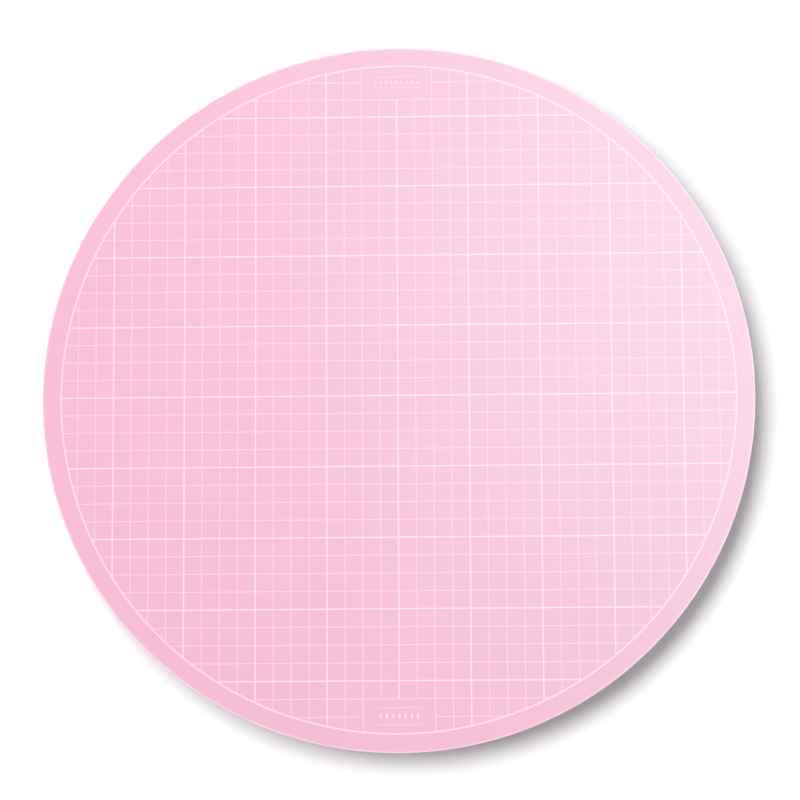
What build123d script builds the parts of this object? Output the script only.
"""A ten-inch round cutting mat that turns on a low ball-bearing base.

A three-layer self-healing mat is stuck to a moulded platter. The platter rides on a ring of steel
balls that a cage keeps apart, between two hard race rings, and a screwed pivot at the centre holds
it to a moulded base on rubber feet.

Sizes are in millimetres. Z is up, the turning axis is Z, and the feet stand on Z = 0. The mat's
far side, away from whoever uses it, is +Y.
"""

from build123d import *
from math import sqrt
import os

INCH = 25.4

# --- Mat ------------------------------------------------------------------------------------------
mat_radius = 127.0
cutting_layer_thickness = 1.0
core_layer_thickness = 1.0
backing_layer_thickness = 1.0
mat_edge_break = 0.3
adhesive_thickness = 0.2
adhesive_inset = 4.0
adhesive_hole_radius = 20.0

# --- Printed inch grid, pressed flush into the cutting layer --------------------------------------
print_margin = 6.7
print_line_width = 0.6
print_depth = 0.06
grid_pitch = INCH
label_grid = INCH / 4
label_least_height = 11.0

# --- Balls and races ------------------------------------------------------------------------------
ball_count = 12
ball_radius = 2.0
ball_gap = 0.03
track_radius = 80.0
race_width = 8.0
race_thickness = 1.5
groove_depth = 0.7
groove_looseness = 1.06
cage_width = 8.6
cage_thickness = 1.2
cage_pocket_gap = 0.15

# --- Platter --------------------------------------------------------------------------------------
mat_overhang = 9.0
platter_thickness = 2.0
skirt_wall = 1.8
skirt_lap = 1.8
skirt_edge_break = 0.5

# --- Base -----------------------------------------------------------------------------------------
skirt_gap = 1.2
base_floor_thickness = 2.0
base_rim_wall = 1.6
base_rim_height = 2.8
base_edge_break = 0.8
panel_depth = 0.4
panel_spoke_width = 9.0
panel_margin = 5.0

# --- Seats and ribs shared by both mouldings ------------------------------------------------------
race_seat_depth = 0.7
race_seat_gap = 0.1
race_wall = 2.0
race_wall_height = 0.6
rib_count = 12
rib_width = 1.2
rib_height = 1.4
rib_root = 0.5
rib_hub_gap = 2.0
rib_rim_gap = 1.0

# --- Feet -----------------------------------------------------------------------------------------
foot_count = 6
foot_radius = 8.0
foot_proud = 1.2
foot_pocket_depth = 1.0
foot_pocket_gap = 0.15
foot_inset = 12.0
foot_edge_break = 0.4

# --- Pivot ----------------------------------------------------------------------------------------
boss_radius = 7.0
boss_running_gap = 0.05
bush_wall = 1.5
bush_flange_width = 2.5
bush_flange_thickness = 0.6
web_thickness = 1.5
pivot_play = 0.2
washer_grip = 3.0
washer_thickness = 0.8
washer_hole_gap = 0.15
screw_radius = 2.0
screw_length = 5.2
screw_head_radius = 4.0
screw_head_height = 1.2
screw_head_round = 0.5
screw_slot_width = 1.0
screw_slot_length = 4.6
screw_slot_depth = 0.7
pilot_spare = 0.3
well_gap = 2.0
well_wall = 1.5
cap_thickness = 0.8
cap_head_gap = 0.2
cap_lip = 1.0
cap_lip_gap = 0.1
cap_skirt_wall = 1.2
cap_skirt_height = 1.2

# --- Heights, worked out from the feet upwards ----------------------------------------------------
base_bottom = foot_proud
base_floor_top = base_bottom + base_floor_thickness
base_rim_top = base_floor_top + base_rim_height
lower_race_bottom = base_floor_top - race_seat_depth
lower_race_top = lower_race_bottom + race_thickness
ball_centre = lower_race_top - groove_depth + ball_gap + ball_radius
upper_race_bottom = ball_centre + ball_radius + ball_gap - groove_depth
upper_race_top = upper_race_bottom + race_thickness
platter_bottom = upper_race_top - race_seat_depth
platter_top = platter_bottom + platter_thickness
platter_rib_bottom = platter_bottom - rib_height
skirt_bottom = base_rim_top - skirt_lap
mat_bottom = platter_top + adhesive_thickness
backing_top = mat_bottom + backing_layer_thickness
core_top = backing_top + core_layer_thickness
mat_top = core_top + cutting_layer_thickness

cap_top = base_bottom + cap_thickness
screw_head_bottom = cap_top + cap_head_gap
washer_bottom = screw_head_bottom + screw_head_height
boss_bottom = washer_bottom + washer_thickness
web_bottom = boss_bottom + pivot_play
web_top = web_bottom + web_thickness
bush_top = web_top + bush_flange_thickness

# --- Radii, worked out from the mat inwards and from the pivot outwards ---------------------------
platter_radius = mat_radius - mat_overhang
skirt_inner_radius = platter_radius - skirt_wall
base_radius = skirt_inner_radius - skirt_gap
base_rim_inner_radius = base_radius - base_rim_wall
foot_circle_radius = base_radius - foot_inset
print_ring_radius = mat_radius - print_margin

race_inner_radius = track_radius - race_width / 2
race_outer_radius = track_radius + race_width / 2
seat_inner_radius = race_inner_radius - race_seat_gap
seat_outer_radius = race_outer_radius + race_seat_gap
race_wall_inner_radius = seat_inner_radius - race_wall
race_wall_outer_radius = seat_outer_radius + race_wall

bush_bore_radius = boss_radius + boss_running_gap
bush_radius = bush_bore_radius + bush_wall
washer_radius = bush_radius + washer_grip
well_radius = washer_radius + well_gap
hat_radius = well_radius + well_wall
platter_rib_start_radius = hat_radius + rib_hub_gap
platter_rib_end_radius = base_rim_inner_radius - rib_rim_gap


def turned(*corners):
    """A solid turned about Z from the corners of its half section, each a radius and a height."""
    section = make_face(Polyline(*[(radius, 0, height) for radius, height in corners], close=True))
    return revolve(section, axis=Axis.Z)


def disc(radius, bottom, top):
    """A plain round plate between two heights."""
    return Pos(0, 0, bottom) * Cylinder(radius, top - bottom, align=(Align.CENTER, Align.CENTER, Align.MIN))


def ring(inner_radius, outer_radius, bottom, top):
    """A flat ring between two heights."""
    return disc(outer_radius, bottom, top) - disc(inner_radius, bottom, top)


def around(count, piece):
    """Copies of a piece, evenly spaced about Z."""
    return [Rot(0, 0, 360 * index / count) * piece for index in range(count)]


def spokes(inner_radius, outer_radius, bottom, top):
    """Stiffening ribs that run outwards between two radii, half a step off the balls."""
    length = outer_radius - inner_radius
    bar = Box(length, rib_width, top - bottom, align=(Align.MIN, Align.CENTER, Align.MIN))
    first = Rot(0, 0, 180 / rib_count) * Pos(inner_radius, 0, bottom) * bar
    return around(rib_count, first)


# --- Mat ------------------------------------------------------------------------------------------


def make_print():
    """Inch lines and their ring as one thin layer of ink. The middle upright stops short at both labels."""
    half_line = print_line_width / 2
    ink = Circle(print_ring_radius + half_line) - Circle(print_ring_radius - half_line)
    label_edge = (print_ring_radius - label_least_height) // label_grid * label_grid
    lines_each_side = int(print_ring_radius // grid_pitch)
    bars = []
    for index in range(-lines_each_side, lines_each_side + 1):
        offset = index * grid_pitch
        reach = sqrt(print_ring_radius**2 - offset**2)
        upright_reach = label_edge if index == 0 else reach
        bars.append(Pos(offset, 0) * Rectangle(print_line_width, 2 * upright_reach))
        bars.append(Pos(0, offset) * Rectangle(2 * reach, print_line_width))
    ink = ink + bars
    return Pos(0, 0, mat_top - print_depth) * extrude(ink, print_depth)


def make_cutting_layer(ink):
    """The soft top skin, with its upper edge eased and a bed for the ink."""
    skin = turned(
        (0, core_top),
        (mat_radius, core_top),
        (mat_radius, mat_top - mat_edge_break),
        (mat_radius - mat_edge_break, mat_top),
        (0, mat_top),
    )
    return skin - ink


def make_core_layer():
    """The stiff middle sheet that stops the blade."""
    return disc(mat_radius, backing_top, core_top)


def make_backing_layer():
    """The soft lower skin, with its lower edge eased."""
    return turned(
        (0, mat_bottom),
        (mat_radius - mat_edge_break, mat_bottom),
        (mat_radius, mat_bottom + mat_edge_break),
        (mat_radius, backing_top),
        (0, backing_top),
    )


def make_adhesive():
    """Double-sided film between the mat and the platter."""
    return ring(adhesive_hole_radius, platter_radius - adhesive_inset, platter_top, mat_bottom)


# --- Bearing --------------------------------------------------------------------------------------


def make_race(bottom, top, groove_floor, groove_side):
    """A hard ring with a round groove. groove_side is +1 where the groove opens upwards, -1 downwards."""
    groove_radius = ball_radius * groove_looseness
    groove = Pos(0, 0, groove_floor + groove_side * groove_radius) * Torus(track_radius, groove_radius)
    return ring(race_inner_radius, race_outer_radius, bottom, top) - groove


def make_lower_race():
    """The race ring that lies in the base."""
    return make_race(lower_race_bottom, lower_race_top, lower_race_top - groove_depth, 1)


def make_upper_race():
    """The race ring that lies in the platter."""
    return make_race(upper_race_bottom, upper_race_top, upper_race_bottom + groove_depth, -1)


def make_cage():
    """The thin ring whose pockets keep the balls apart."""
    inner = track_radius - cage_width / 2
    outer = track_radius + cage_width / 2
    bottom = ball_centre - cage_thickness / 2
    top = ball_centre + cage_thickness / 2
    pocket = Pos(track_radius, 0, 0) * disc(ball_radius + cage_pocket_gap, bottom, top)
    return ring(inner, outer, bottom, top) - around(ball_count, pocket)


def make_balls():
    """The steel balls, each a solid of its own."""
    return around(ball_count, Pos(track_radius, 0, ball_centre) * Sphere(ball_radius))


# --- Platter --------------------------------------------------------------------------------------


def make_platter():
    """Moulded turntable: plate, outer skirt, seat for the upper race, ribs and the pivot boss."""
    shell = turned(
        (0, platter_top),
        (platter_radius, platter_top),
        (platter_radius, skirt_bottom + skirt_edge_break),
        (platter_radius - skirt_edge_break, skirt_bottom),
        (skirt_inner_radius, skirt_bottom),
        (skirt_inner_radius, platter_bottom),
        (0, platter_bottom),
    )
    race_walls = ring(
        race_wall_inner_radius,
        race_wall_outer_radius,
        platter_bottom - race_wall_height,
        platter_bottom,
    )
    boss = disc(boss_radius, boss_bottom, platter_bottom)
    inner_ribs = spokes(
        platter_rib_start_radius,
        race_wall_inner_radius + rib_root,
        platter_rib_bottom,
        platter_bottom,
    )
    outer_ribs = spokes(
        race_wall_outer_radius - rib_root,
        platter_rib_end_radius,
        platter_rib_bottom,
        platter_bottom,
    )
    moulding = shell + [race_walls, boss, *inner_ribs, *outer_ribs]
    seat = ring(seat_inner_radius, seat_outer_radius, platter_bottom - race_wall_height, upper_race_top)
    pilot = disc(screw_radius, boss_bottom, boss_bottom + screw_length + pilot_spare - washer_thickness)
    return moulding - [seat, pilot]


# --- Base -----------------------------------------------------------------------------------------


def make_panels():
    """Shallow recesses under the base, six sectors between spokes."""
    inner = hat_radius + panel_margin
    outer = foot_circle_radius - foot_radius - panel_margin
    face = Circle(outer) - Circle(inner)
    spoke = Pos((inner + outer) / 2, 0) * Rectangle(2 * (outer - inner), panel_spoke_width)
    face = face - around(foot_count, spoke)
    return Pos(0, 0, base_bottom) * extrude(face, panel_depth)


def make_base():
    """Moulded base: floor, upturned rim, seat for the lower race, ribs, foot pockets and the pivot's hat."""
    shell = turned(
        (0, base_bottom),
        (base_radius - base_edge_break, base_bottom),
        (base_radius, base_bottom + base_edge_break),
        (base_radius, base_rim_top),
        (base_rim_inner_radius, base_rim_top),
        (base_rim_inner_radius, base_floor_top),
        (0, base_floor_top),
    )
    hat = disc(hat_radius, base_floor_top, web_top)
    race_walls = ring(
        race_wall_inner_radius,
        race_wall_outer_radius,
        base_floor_top,
        base_floor_top + race_wall_height,
    )
    rib_top = base_floor_top + rib_height
    inner_ribs = spokes(hat_radius - rib_root, race_wall_inner_radius + rib_root, base_floor_top, rib_top)
    outer_ribs = spokes(
        race_wall_outer_radius - rib_root,
        base_rim_inner_radius + rib_root,
        base_floor_top,
        rib_top,
    )
    moulding = shell + [hat, race_walls, *inner_ribs, *outer_ribs]
    seat = ring(seat_inner_radius, seat_outer_radius, lower_race_bottom, base_floor_top + race_wall_height)
    well = disc(well_radius, base_bottom, web_bottom)
    cap_recess = disc(well_radius + cap_lip, base_bottom, cap_top)
    bush_bore = disc(bush_radius, web_bottom, web_top)
    pocket = Pos(foot_circle_radius, 0, 0) * disc(
        foot_radius + foot_pocket_gap,
        base_bottom,
        base_bottom + foot_pocket_depth,
    )
    return moulding - [seat, well, cap_recess, bush_bore, make_panels(), *around(foot_count, pocket)]


def make_feet():
    """Rubber pads, each with its lower edge eased and its top pressed into a pocket."""
    top = base_bottom + foot_pocket_depth
    pad = turned(
        (0, 0),
        (foot_radius - foot_edge_break, 0),
        (foot_radius, foot_edge_break),
        (foot_radius, top),
        (0, top),
    )
    return around(foot_count, Pos(foot_circle_radius, 0, 0) * pad)


# --- Pivot ----------------------------------------------------------------------------------------


def make_bush():
    """Flanged sleeve in the base's hat. The platter's boss turns in it."""
    flange_radius = bush_radius + bush_flange_width
    return turned(
        (bush_bore_radius, web_bottom),
        (bush_radius, web_bottom),
        (bush_radius, web_top),
        (flange_radius, web_top),
        (flange_radius, bush_top),
        (bush_bore_radius, bush_top),
    )


def make_washer():
    """Steel washer under the boss, wide enough to keep the platter from lifting."""
    return ring(screw_radius + washer_hole_gap, washer_radius, washer_bottom, boss_bottom)


def make_screw():
    """Low-headed screw with a cross slot. Its thread is left plain."""
    head = turned(
        (0, screw_head_bottom),
        (screw_head_radius - screw_head_round, screw_head_bottom),
        (screw_head_radius, screw_head_bottom + screw_head_round),
        (screw_head_radius, washer_bottom),
        (0, washer_bottom),
    )
    shank = disc(screw_radius, washer_bottom, washer_bottom + screw_length)
    standing = (Align.CENTER, Align.CENTER, Align.MIN)
    cut = Box(screw_slot_length, screw_slot_width, screw_slot_depth, align=standing)
    slot = Pos(0, 0, screw_head_bottom) * cut
    return head + shank - [slot, Rot(0, 0, 90) * slot]


def make_cap():
    """Cover over the pivot screw, with a skirt that grips the wall of the well."""
    lip_radius = well_radius + cap_lip - cap_lip_gap
    skirt_inner = well_radius - cap_skirt_wall
    return turned(
        (0, base_bottom),
        (lip_radius, base_bottom),
        (lip_radius, cap_top),
        (well_radius, cap_top),
        (well_radius, cap_top + cap_skirt_height),
        (skirt_inner, cap_top + cap_skirt_height),
        (skirt_inner, cap_top),
        (0, cap_top),
    )


def main():
    """Builds every piece and writes one STEP file for each."""
    printed_grid = make_print()
    pieces = {
        "printed_grid": printed_grid,
        "cutting_layer": make_cutting_layer(printed_grid),
        "core_layer": make_core_layer(),
        "backing_layer": make_backing_layer(),
        "adhesive_film": make_adhesive(),
        "platter": make_platter(),
        "upper_race": make_upper_race(),
        "ball_cage": make_cage(),
        "lower_race": make_lower_race(),
        "base_plate": make_base(),
        "pivot_bush": make_bush(),
        "retaining_washer": make_washer(),
        "pivot_screw": make_screw(),
        "hub_cap": make_cap(),
    }
    for number, ball in enumerate(make_balls(), start=1):
        pieces[f"ball_{number:02d}"] = ball
    for number, foot in enumerate(make_feet(), start=1):
        pieces[f"foot_{number}"] = foot

    os.makedirs("parts", exist_ok=True)
    for name, piece in pieces.items():
        export_step(piece, f"parts/{name}.step")
    print(len(pieces), "pieces, mat top at", round(mat_top, 3), "mm")


main()
